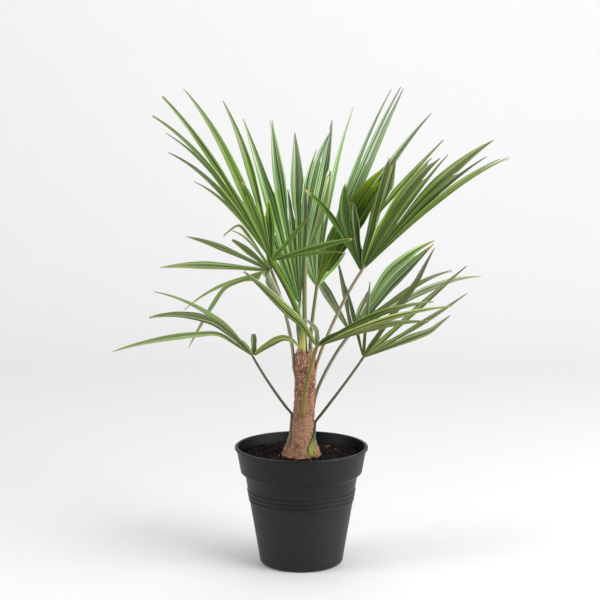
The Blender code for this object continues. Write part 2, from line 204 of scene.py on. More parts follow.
def circle(radius, height, sides):
    turns = [2 * math.pi * index / sides for index in range(sides)]
    return [Vector((radius * math.cos(turn), radius * math.sin(turn), height)) for turn in turns]


# Pot

pot = {
    "height": 171, "rim": 95, "wall": 2, "floor": 2.6, "lip": 3.4, "lipOverhang": 2.6,
    "collarFoot": 134, "collarFootRadius": 86.6, "step": 5, "bodyTop": 80, "bodyFoot": 59.8,
    "footRounding": 8, "ribs": (107.4, 100.9, 94.4), "ribHalf": 2.1, "ribStand": 1.2, "sides": 128,
    # low is the lighter colour of the lower part: a painted sheen of light from the floor
    "drains": 6, "drainRadius": 5, "drainRing": 38, "colour": tone(7, 7, 8), "low": tone(24, 24, 25),
}
soil = {
    "level": 157, "edgeDrop": 1.5, "clear": 0.4, "crumbs": 3200, "chips": 90, "specks": 90,
    "colour": tone(12, 9, 8), "crumbColour": tone(30, 20, 16), "chipColour": tone(112, 68, 48),
    "speckColour": tone(206, 200, 184),
}


def bodyRadius(height):
    low = pot["footRounding"]
    share = (height - low) / (pot["collarFoot"] - pot["step"] - low)
    return pot["bodyFoot"] + share * (pot["bodyTop"] - pot["bodyFoot"])


def collarInside(height):
    top = pot["height"] - pot["lip"]
    share = (height - pot["collarFoot"]) / (top - pot["collarFoot"])
    outer = pot["collarFootRadius"] + share * (pot["rim"] - pot["lipOverhang"] - pot["collarFootRadius"])
    return outer - pot["wall"]


def roundCorner(centre, radius, start, end, steps):
    # points of an arc, with angles in degrees from straight out
    turns = [math.radians(start + (end - start) * index / steps) for index in range(steps + 1)]
    return [(centre[0] + radius * math.cos(turn), centre[1] + radius * math.sin(turn)) for turn in turns]


def potProfile():
    # the wall's line from the underside, up the outer side, over the lip and down inside
    foot = pot["footRounding"]
    line = roundCorner((pot["bodyFoot"] - foot, foot), foot, -90, 0, 6)
    for rib in reversed(pot["ribs"]):
        for side in (-1, -0.75, -0.35, 0, 0.35, 0.75, 1):
            height = rib + side * pot["ribHalf"]
            line.append((bodyRadius(height) + pot["ribStand"] * (1 - side**2) ** 0.5, height))
    collar, radius = pot["collarFoot"], pot["collarFootRadius"]
    line.append((pot["bodyTop"], collar - pot["step"]))
    line.append((pot["bodyTop"] + 0.6, collar - pot["step"] + 1.2))
    line.append((radius - 2.2, collar - 0.2))
    line += roundCorner((radius - 1.1, collar + 1.1), 1.1, -70, 0, 4)
    under = pot["height"] - pot["lip"]
    line.append((pot["rim"] - pot["lipOverhang"], under - 0.7))
    line += roundCorner((pot["rim"] - 0.8, under + 0.8), 0.8, -90, 0, 3)
    line += roundCorner((pot["rim"] - 1.2, pot["height"] - 1.2), 1.2, 0, 90, 4)
    mouth = collarInside(under)
    line += roundCorner((mouth + 1, pot["height"] - 1), 1, 90, 180, 4)
    wall = pot["wall"]
    line.append((mouth, under))
    line.append((radius - wall, collar))
    line.append((pot["bodyTop"] - wall, collar - pot["step"]))
    line.append((bodyRadius(1.5 * foot) - wall, 1.5 * foot))
    line.append((pot["bodyFoot"] - wall - 1.2, pot["floor"] + foot / 2))
    line.append((pot["bodyFoot"] - foot, pot["floor"]))
    return line


def potPaint():
    paint = Paint("charcoalPlastic", Specular_IOR_Level=0.3)
    where = paint.place("object")
    cloud = paint.grains(where, 26, 4)
    grain = paint.grains(where, 900, 2)
    scuff = paint.grains(paint.stretched(where, (1, 1, 5)), 60, 5, 0.7)
    dust = paint.fade(scuff, 0.62, 0.78, 0, 0.22)
    height = paint.node("SeparateXYZ", {}, {0: where}, out=2)
    # the lower part turns lighter: painted sheen of light from the floor
    colour = paint.blend(paint.fade(height + cloud * 0.02, 0.15, 0.07), pot["colour"], pot["low"])
    colour = paint.blend(dust, colour, tone(52, 51, 50))
    return paint.dress(
        Base_Color=colour,
        Roughness=0.42 + cloud * 0.1 + dust * 0.5,
        Normal=paint.bump(grain + cloud * 2, 0.25, 0.0002),
    )


def makePot():
    rings = [circle(radius * mm, height * mm, pot["sides"]) for radius, height in potProfile()]
    piece = extrudeRings("pot_shell", rings, [potPaint()])
    for index in range(pot["drains"]):
        turn = 2 * math.pi * (index + 0.5) / pot["drains"]
        ring = pot["drainRing"] * mm
        bpy.ops.mesh.primitive_cylinder_add(
            vertices=24, radius=pot["drainRadius"] * mm, depth=4 * pot["floor"] * mm,
            location=(ring * math.cos(turn), ring * math.sin(turn), 0),
        )
        drill = bpy.context.object
        cut = piece.modifiers.new("drain", "BOOLEAN")
        cut.operation = "DIFFERENCE"
        cut.object = drill
        applyAll(piece)
        bpy.data.objects.remove(drill)
    bpy.context.view_layer.objects.active = piece
    piece.select_set(True)
    bpy.ops.object.shade_smooth_by_angle(angle=math.radians(32))
    finish(piece, "pot", "pot")


# Soil

def soilPaint(name, colour, other):
    paint = Paint(name, Specular_IOR_Level=0.25)
    where = paint.place("object")
    cloud = paint.grains(where, 160, 5, 0.7)
    fine = paint.grains(where, 900, 3)
    return paint.dress(
        Base_Color=paint.blend(paint.fade(cloud, 0.4, 0.68), colour, other),
        Roughness=0.8 + fine * 0.2,
        Normal=paint.bump(cloud + fine * 0.5, 0.7, 0.0012),
    )


def soilHeight(x, y):
    # mounded a little round the trunk, level to the wall and lumpy all over
    out = math.hypot(x, y)
    edge = collarInside(soil["level"] - soil["edgeDrop"]) * mm
    height = soil["level"] * mm - soil["edgeDrop"] * mm * (out / edge) ** 3
    lumps = noise.noise(Vector((x, y, 0.2)) * 90) + 0.5 * noise.noise(Vector((x, y, 0.7)) * 260)
    return height + 1.3 * mm * lumps


def makeSoil():
    clear = pot["wall"] + soil["clear"]
    foot = pot["footRounding"]
    edge = soil["level"] - soil["edgeDrop"]
    line = [
        (pot["bodyFoot"] - foot, pot["floor"] + soil["clear"]),
        (pot["bodyFoot"] - clear - 1.2, pot["floor"] + soil["clear"] + foot / 2),
        (bodyRadius(1.5 * foot) - clear, 1.5 * foot),
        (pot["bodyTop"] - clear, pot["collarFoot"] - pot["step"]),
        (pot["collarFootRadius"] - clear, pot["collarFoot"]),
        (collarInside(edge) - soil["clear"], edge),
    ]
    rings = [circle(radius * mm, height * mm, 120) for radius, height in line]
    steps = 34
    for index in range(1, steps):
        radius = (collarInside(edge) - soil["clear"]) * mm * (1 - index / steps)
        rings.append([Vector((p.x, p.y, soilHeight(p.x, p.y))) for p in circle(radius, 0, 120)])
    piece = extrudeRings("soil_bed", rings, [soilPaint("pottingSoil", soil["colour"], soil["crumbColour"])])
    finish(piece, "soil", "soil")


def scatterLumps(name, count, sizes, stretch, paints, seed):
    # many small rounded lumps on the soil, joined
    shape = bmesh.new()
    bmesh.ops.create_icosphere(shape, subdivisions=1, radius=1)
    base = np.array([vertex.co[:] for vertex in shape.verts])
    sides = np.array([[vertex.index for vertex in face.verts] for face in shape.faces])
    shape.free()
    rng = np.random.default_rng(seed)
    limit = (collarInside(soil["level"]) - 5) * mm
    points = []
    faces = []
    for index in range(count):
        out = limit * math.sqrt(rng.uniform(0.1, 1))
        turn = rng.uniform(0, 2 * math.pi)
        x, y = out * math.cos(turn), out * math.sin(turn)
        size = sizes[0] * (sizes[1] / sizes[0]) ** rng.uniform(0, 1) ** 2 * mm
        lump = base * rng.uniform(0.75, 1.2, base.shape) * size
        lump *= np.array([stretch, 1, 1]) * rng.uniform(0.7, 1.3, 3)
        spin, tilt = rng.uniform(0, 2 * math.pi, 2)
        tilt = 0.5 * math.sin(tilt)
        lump = lump @ np.array([
            [math.cos(spin), math.sin(spin), 0],
            [-math.sin(spin), math.cos(spin), 0],
            [0, 0, 1],
        ])
        lump[:, 2] += tilt * lump[:, 0]
        points.append(lump + [x, y, soilHeight(x, y) + 0.25 * size])
        faces.append(sides + len(base) * index)
    piece = makeMesh(name, np.concatenate(points).tolist(), np.concatenate(faces).tolist(), paints)
    finish(piece, "soil")


def makeCrumbs():
    dark = soilPaint("soilCrumb", soil["colour"], soil["crumbColour"])
    bark = soilPaint("barkChip", soil["crumbColour"], soil["chipColour"])
    pale = soilPaint("paleSpeck", soil["speckColour"], tone(150, 138, 118))
    scatterLumps("soil_crumbs", soil["crumbs"], (0.7, 3.2), 1.2, [dark], 3)
    scatterLumps("soil_chips", soil["chips"], (1.2, 2.8), 2.4, [bark], 4)
    scatterLumps("soil_specks", soil["specks"], (0.5, 1.3), 1.3, [pale], 5)


# Trunk

trunk = {
    "foot": 157.3, "top": 305.7, "radius": 13.3, "flare": 16.5, "flareStart": 150, "flareHeight": 25,
    "lean": 5.4, "leanStart": 165, "leanHeight": 95, "sides": 72, "rings": 96,
    "colour": tone(158, 120, 94), "dark": tone(120, 84, 66), "light": tone(196, 158, 132),
    # gap is the painted shade in the gaps between torn fibre near the top
    "gap": tone(64, 32, 20), "spikes": 140, "curls": 280,
}


def trunkRadius(height):
    rise = max(height - trunk["flareStart"], 0) / trunk["flareHeight"]
    return trunk["radius"] + trunk["flare"] / (1 + rise**2.2)


def trunkCentre(height):
    share = min(max((height - trunk["leanStart"]) / trunk["leanHeight"], 0), 1)
    return trunk["lean"] * share * share * (3 - 2 * share)


def onTrunk(turn, height, out=0.0):
    # a place on the trunk: degrees round it from the front, its height and how far it stands out
    angle = math.radians(turn)
    radius = trunkRadius(height) + out
    return Vector((trunkCentre(height) + radius * math.sin(angle), -radius * math.cos(angle), height)) * mm


def trunkRelief(turn, height):
    # old leaf bases wrap the trunk in slanting bands, under matted fibre
    angle = math.radians(turn)
    band = (height / 13 + turn / 360 + 0.35 * math.sin(3 * angle + height / 9)) % 1
    ridge = 0.9 * band**2 - 0.3
    round3 = Vector((math.cos(angle) * 1.6, math.sin(angle) * 1.6, height / 14))
    mat = 0.9 * noise.noise(round3 * 1.7) + 0.5 * noise.noise(round3 * 5)
    threads = 0.35 * noise.noise(Vector((math.cos(angle) * 9, math.sin(angle) * 9, height / 16)))
    return ridge + mat + threads


def trunkPaint():
    paint = Paint("palmFibre", Specular_IOR_Level=0.2)
    where = paint.place("object")
    mat = paint.grains(paint.stretched(where, (1, 1, 0.45)), 130, 5, 0.66)
    strand = paint.grains(paint.stretched(where, (1, 1, 0.12)), 900, 3, 0.6)
    patch = paint.grains(where, 45, 3)
    height = paint.node("SeparateXYZ", {}, {0: where}, out=2)
    wrinkle = paint.sum("SINE", height * 1300 + patch * 70 + mat * 4, 0)
    # dark patches near the top: painted shade in the gaps between torn fibre
    torn = paint.fade(paint.grains(where, 85, 3), 0.53, 0.46)
    fibreGapShade = torn * paint.fade(height + patch * 0.03, 0.252, 0.268)
    colour = paint.blend(paint.fade(mat, 0.34, 0.56), trunk["dark"], trunk["colour"])
    colour = paint.blend(paint.fade(wrinkle, 0.2, 1, 0, 0.24), colour, trunk["light"])
    colour = paint.blend(paint.fade(wrinkle, -0.3, -1, 0, 0.3), colour, trunk["dark"])
    colour = paint.blend(paint.fade(strand, 0.55, 0.75, 0, 0.4), colour, trunk["light"])
    colour = paint.blend(paint.fade(fibreGapShade, 0, 1, 0, 0.85), colour, trunk["gap"])
    return paint.dress(
        Base_Color=colour,
        Roughness=0.78 + mat * 0.2,
        Normal=paint.bump(mat * 1.1 + wrinkle * 0.12 + strand * 0.4, 0.8, 0.001),
    )


def makeTrunk():
    rings = []
    for index in range(trunk["rings"] + 1):
        share = index / trunk["rings"]
        height = trunk["foot"] + share * (trunk["top"] - trunk["foot"])
        fade = min(1, 12 * share)
        ring = []
        for side in range(trunk["sides"]):
            turn = 360 * side / trunk["sides"]
            ring.append(onTrunk(turn, height, fade * trunkRelief(turn, height)))
        rings.append(ring)
    for inset in (0.8, 0.45, 0.15):
        centre = Vector((trunkCentre(trunk["top"]) * mm, 0, trunk["top"] * mm))
        rings.append([centre + (place - centre) * inset for place in rings[trunk["rings"]]])
    piece = extrudeRings("trunk_fibre", rings, [trunkPaint()])
    finish(piece, "trunk", "trunk")


# Strands: thin three-sided threads, joined into one piece

def threadMesh(name, lines, paints, chosen=None):
    points = []
    faces = []
    picks = []
    for number, (line, radius) in enumerate(lines):
        start = len(points)
        last = len(line) - 1
        for index, place in enumerate(line):
            along = (line[min(index + 1, last)] - line[max(index - 1, 0)]).normalized()
            side = along.orthogonal().normalized()
            other = along.cross(side)
            thick = radius * mm * (1 - 0.7 * (index / last) ** 2)
            for corner in range(3):
                turn = 2 * math.pi * corner / 3
                points.append(place + thick * (math.cos(turn) * side + math.sin(turn) * other))
        before = len(faces)
        faces.append((start + 2, start + 1, start))
        for index in range(last):
            low = start + 3 * index
            for corner in range(3):
                after = (corner + 1) % 3
                faces.append((low + corner, low + after, low + 3 + after, low + 3 + corner))
        faces.append((start + 3 * last, start + 3 * last + 1, start + 3 * last + 2))
        picks += [chosen[number] if chosen else 0] * (len(faces) - before)
    piece = makeMesh(name, points, faces, paints)
    piece.data.polygons.foreach_set("material_index", picks)
    return piece


def fibrePaint(name, colour, light):
    paint = Paint(name, Specular_IOR_Level=0.3)
    where = paint.place("object")
    change = paint.grains(where, 220, 2)
    return paint.dress(
        Base_Color=paint.blend(paint.fade(change, 0.35, 0.65), colour, light),
        Roughness=0.65 + change * 0.2,
    )


def makeTrunkFibres():
    chance = random.Random(11)
    lines = []
    chosen = []
    for index in range(1500):
        crown = chance.random() < 0.45
        height = chance.uniform(238, 300) if crown else chance.uniform(159, 296)
        turn = chance.uniform(0, 360)
        drift = chance.uniform(-5, 5) * (2.2 if crown else 1)
        climb = chance.uniform(-1.2, 2.6)
        wave = chance.uniform(0, 9)
        out = trunkRelief(turn, height) + chance.uniform(0.1, 0.5)
        line = []
        for step in range(7):
            lift = (0.35 * step * chance.uniform(0, 0.6)) if crown else 0.05 * step
            line.append(onTrunk(turn, height, out + lift))
            turn += drift + 3 * math.sin(wave + step)
            height = min(height + climb, 306)
            height = max(height, 158)
        lines.append((line, chance.uniform(0.12, 0.28)))
        chosen.append(0 if chance.random() < 0.55 else 1)
    for index in range(trunk["curls"]):
        # pale curls of torn fibre stand off the upper trunk
        turn = chance.uniform(0, 360)
        height = chance.uniform(244, 298)
        spread = chance.uniform(5, 13) * chance.choice((-1, 1))
        climb = chance.uniform(-4, 4)
        out = trunkRelief(turn, height)
        line = []
        for step in range(9):
            share = step / 8
            bow = math.sin(math.pi * share)
            line.append(onTrunk(turn + spread * share, height + climb * share + 1.5 * bow, out + 0.2 + bow))
        lines.append((line, chance.uniform(0.35, 0.75)))
        chosen.append(2)
    for index in range(trunk["spikes"]):
        # torn fibre stands up round the top and hides the flat end
        front = index < 60
        turn = chance.uniform(-65, 65) if front else chance.uniform(0, 360)
        height = chance.uniform(284, 300)
        top = trunk["top"] + chance.choice((1.5, 3, 5, 7, 11)) * chance.uniform(0.6, 1)
        lean = chance.uniform(-0.5, 1) if front else chance.uniform(0.5, 4)
        drift = chance.uniform(-9, 9)
        out = trunkRelief(turn, height) + chance.uniform(0.1, 0.7)
        line = []
        for step in range(6):
            share = step / 5
            line.append(onTrunk(turn + drift * share, height + (top - height) * share, out - lean * share**2))
        lines.append((line, chance.uniform(0.35, 0.8)))
        chosen.append(0 if chance.random() < 0.6 else 1)
    paints = [
        fibrePaint("tanFibre", tone(190, 148, 120), tone(220, 184, 158)),
        fibrePaint("redFibre", tone(128, 84, 66), tone(172, 120, 94)),
        fibrePaint("paleFibre", tone(204, 146, 110), tone(240, 196, 164)),
    ]
    finish(threadMesh("trunk_threads", lines, paints, chosen), "trunk")


# Leaf stalks

stalk = {"sides": 14, "steps": 34, "costa": 16, "sheathSteps": 16}
stalkTones = {
    # left side, right side, foot and how far the foot's tone climbs; the darker left and lighter right sides are
    # partly the stalk's own tones, partly painted shade and painted light
    "olive": (tone(92, 96, 52), tone(134, 136, 86), tone(118, 112, 74), 0.2),
    "green": (tone(44, 68, 16), tone(94, 122, 34), tone(192, 182, 96), 0.3),
    "grey": (tone(60, 68, 52), tone(96, 104, 80), tone(118, 106, 80), 0.2),
    "ash": (tone(92, 98, 78), tone(128, 132, 110), tone(140, 116, 90), 0.2),
    "brown": (tone(124, 112, 84), tone(154, 144, 114), tone(150, 114, 86), 0.25),
    "leek": (tone(96, 110, 42), tone(132, 108, 64), tone(132, 118, 56), 0.4),
    "lime": (tone(92, 112, 90), tone(150, 172, 126), tone(176, 176, 92), 0.3),
    "sheath": (tone(66, 76, 54), tone(94, 104, 76), tone(126, 148, 34), 0.16),
}


def stalkPaint(name, left, right, foot, climb):
    paint = Paint(f"stalk_{name}", Specular_IOR_Level=0.2)
    where = paint.place("object")
    across = paint.node("SeparateXYZ", {}, {0: paint.place("uv")}, out=0)
    along = paint.node("SeparateXYZ", {}, {0: paint.place("uv")}, out=1)
    streak = paint.grains(paint.stretched(where, (1, 1, 0.1)), 700, 3)
    patch = paint.grains(where, 60, 3)
    # darker left side and lighter right side: partly the stalk's own tones, partly painted shade and painted light
    colour = paint.blend(paint.fade(across + streak * 0.2 - 0.1, 0.3, 0.7), left, right)
    colour = paint.blend(paint.fade(along, 0.25 * climb, climb, 0.95, 0), colour, foot)
    colour = paint.blend(paint.fade(streak, 0.45, 0.75, 0, 0.25), colour, right)
    colour = paint.blend(paint.fade(patch, 0.55, 0.75, 0, 0.35), colour, tone(116, 96, 62))
    return paint.dress(
        Base_Color=colour,
        Roughness=0.42 + streak * 0.15,
        Normal=paint.bump(streak, 0.35, 0.0006),
    )


def stalkFoot(frond, radius):
    if "top" in frond:
        x, y = frond["top"]
        return Vector((trunkCentre(trunk["top"]) + x, y, trunk["top"] + 0.75)) * mm
    return onTrunk(frond["around"], frond["height"], 0.1 + radius)


def makeStalk(name, frond):
    root, tip = frond["radii"]
    foot = stalkFoot(frond, root)
    hub = Vector(frond["hub"]) * mm
    near, far = (Vector(handle) * mm for handle in frond["handles"])
    route = interpolate_bezier(foot, near, far, hub, stalk["steps"])
    sizes = []
    for index in range(stalk["steps"]):
        share = index / (stalk["steps"] - 1)
        wide = tip + (root - tip) * (1 - share) ** 1.3
        sizes.append((wide, wide))
    base = []
    baseSizes = []
    if "sheath" in frond:
        turn, height, wide = frond["sheath"]
        steps = stalk["sheathSteps"]
        for index in range(steps):
            share = index / steps
            ease = share * share * (3 - 2 * share)
            spot = onTrunk(
                turn + (frond["around"] - turn) * ease,
                height + (frond["height"] - height) * share,
                0.3 + (root - 0.2) * share**2,
            )
            base.append(spot)
            broad = wide * (1 - share) ** 0.8 * min(1, 0.45 + 3 * share) + root * share
            baseSizes.append((broad, 0.9 + (root - 0.9) * share**1.5))
    elif "top" in frond:
        for index in range(5):
            base.append(foot + Vector((0, 0, -1.4 * (5 - index))) * mm)
            baseSizes.append((root * 1.25, root * 1.1))
    across, up, out = fanFrame(frond)
    lean = (hub - far).normalized()
    middle = frond["leaflets"][len(frond["leaflets"]) // 2]["angle"]
    aim = math.radians(middle)
    fan = (math.sin(aim) * across + math.cos(aim) * up).normalized()
    beyond = []
    beyondSizes = []
    for index in range(1, 7):
        share = index / 6
        way = (lean * (1 - share) + fan * share).normalized()
        place = (beyond or [hub])[-1] + way * stalk["costa"] / 6 * mm
        beyond.append(place)
        beyondSizes.append((tip * (1 - 0.8 * share), tip * (1 - 0.85 * share)))
    route = base + list(route) + beyond
    sizes = baseSizes + sizes + beyondSizes
    rings = []
    sides = []
    lengths = [0]
    for start, end in zip(route, route[1:]):
        lengths.append(lengths[-1] + (end - start).length)
    for index, place in enumerate(route):
        along = (route[min(index + 1, len(route) - 1)] - route[max(index - 1, 0)]).normalized()
        axis = Vector((trunkCentre(place.z / mm) * mm, 0, place.z))
        away = place - axis if index < len(base) + 4 and "around" in frond else out
        if index < len(base) + 14 and "around" in frond:
            share = min(max((index - len(base)) / 14, 0), 1)
            away = (place - axis).normalized() * (1 - share) + out * share
        away = (away - along * away.dot(along)).normalized()
        side = along.cross(away)
        sides.append(side)
        wide, thick = sizes[index]
        ring = []
        for corner in range(stalk["sides"]):
            turn = 2 * math.pi * corner / stalk["sides"]
            channel = 1 - 0.34 * max(math.sin(turn), 0) ** 3
            ring.append(place + mm * (wide * math.cos(turn) * side + thick * channel * math.sin(turn) * away))
        rings.append(ring)
    paint = stalkPaint(name, *stalkTones[frond["stalkTone"]])
    piece = extrudeRings(f"stalk_{name}", rings, [paint])
    layer = piece.data.uv_layers.active
    total = lengths[-1]
    places = np.array([tuple(place) for place in route])
    for loop in piece.data.loops:
        corner = np.array(piece.data.vertices[loop.vertex_index].co)
        nearest = int(np.argmin(((places - corner) ** 2).sum(1)))
        reach = Vector(corner - places[nearest]).dot(sides[nearest]) / (sizes[nearest][0] * mm)
        layer.data[loop.index].uv = (0.5 + 0.5 * reach, lengths[nearest] / total)
    finish(piece, "petiole", f"petiole_{name}")


# Fronds

blade = {
    "firstRow": 3.3, "rowStep": 4.2, "pathSteps": 48, "columns": 4, "fold": math.radians(24),
    "tip": 0.6, "widest": 0.55, "root": 0.9, "spread": 0.2, "thickness": 0.6, "bow": 0.07,
    "kinkShare": 0.16, "notchShare": 0.2, "webLimit": 0.94,
}


def leaflet(angle, length, bend=0, **more):
    # degrees from straight up in the fan, length in mm and how far it has turned by the tip
    return dict(angle=angle, length=length, bend=bend, **more)
